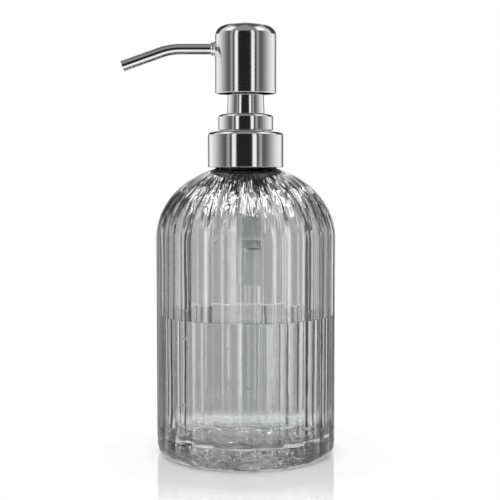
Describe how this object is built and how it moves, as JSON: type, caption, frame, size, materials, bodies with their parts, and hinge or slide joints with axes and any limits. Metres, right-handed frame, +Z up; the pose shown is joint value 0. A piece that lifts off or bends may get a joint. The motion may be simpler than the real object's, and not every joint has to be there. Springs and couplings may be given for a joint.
{
  "type": "soap pump dispenser",
  "caption": "Countertop soap pump dispenser: fluted clear glass bottle with a screw-on stainless-steel lotion pump, domed press head and slender drooping spout.",
  "frame": {"origin": "centre of the bottle's flat base, on the common axis of bottle, collar and pump", "axes": "+Z up along the pump axis; -X along the spout at rest"},
  "size_m": [0.0916, 0.0768, 0.183],
  "materials": {
    "clear_glass": "clear pressed glass with a faint smoke tint, fire-polished ribs",
    "polished_steel": "mirror-polished stainless steel",
    "white_plastic": "moulded white polypropylene",
    "natural_plastic": "translucent natural polyethylene",
    "black_rubber": "moulded black rubber",
    "spring_steel": "drawn stainless spring wire",
    "ball_steel": "ground and polished bearing ball"
  },
  "bodies": {
    "bottle": {"glass_bottle": "clear_glass"},
    "gasket": {"neck_gasket": "black_rubber"},
    "pump_body": {"pump_housing": "natural_plastic", "lock_cap": "white_plastic", "upper_ring": "polished_steel", "guide_sleeve": "polished_steel", "stem_guide": "white_plastic", "stem_wiper": "black_rubber", "spring_seat": "white_plastic", "dip_tube": "natural_plastic", "return_spring": "spring_steel"},
    "collar": {"collar_shell": "polished_steel", "collar_insert": "white_plastic"},
    "plunger": {"piston_stem": "white_plastic", "piston_seat": "white_plastic"},
    "piston_sleeve": {"piston": "natural_plastic"},
    "inlet_ball": {"check_ball": "ball_steel"},
    "head": {"head_shell": "polished_steel", "head_core": "white_plastic", "spout_tube": "polished_steel", "spout_ferrule": "polished_steel"}
  },
  "joints": [
    {"name": "pump_lift", "type": "slide", "parent": "bottle", "child": "gasket", "axis": [0, 0, 1], "range_m": [0, 0.13]},
    {"name": "collar_rise", "type": "slide", "parent": "gasket", "child": "pump_body", "axis": [0, 0, 1], "range_m": [0, 0.0064]},
    {"name": "collar_turn", "type": "hinge", "parent": "pump_body", "child": "collar", "pos_m": [0, 0, 0.13], "axis": [0, 0, 1], "range_deg": [0, 540]},
    {"name": "head_press", "type": "slide", "parent": "pump_body", "child": "plunger", "axis": [0, 0, -1], "range_m": [0, 0.013], "stiffness_N_per_m": 450, "springref_m": -0.006, "deforming": ["return_spring"]},
    {"name": "head_swivel", "type": "hinge", "parent": "plunger", "child": "head", "pos_m": [0, 0, 0.165], "axis": [0, 0, 1], "continuous": true},
    {"name": "piston_slip", "type": "slide", "parent": "plunger", "child": "piston_sleeve", "axis": [0, 0, 1], "range_m": [0, 0.0012]},
    {"name": "ball_lift", "type": "slide", "parent": "pump_body", "child": "inlet_ball", "axis": [0, 0, 1], "range_m": [0, 0.0013]}
  ],
  "couplings": [
    {"joint": "collar_rise", "follows": "collar_turn", "m_per_rad": 0.0006737}
  ]
}
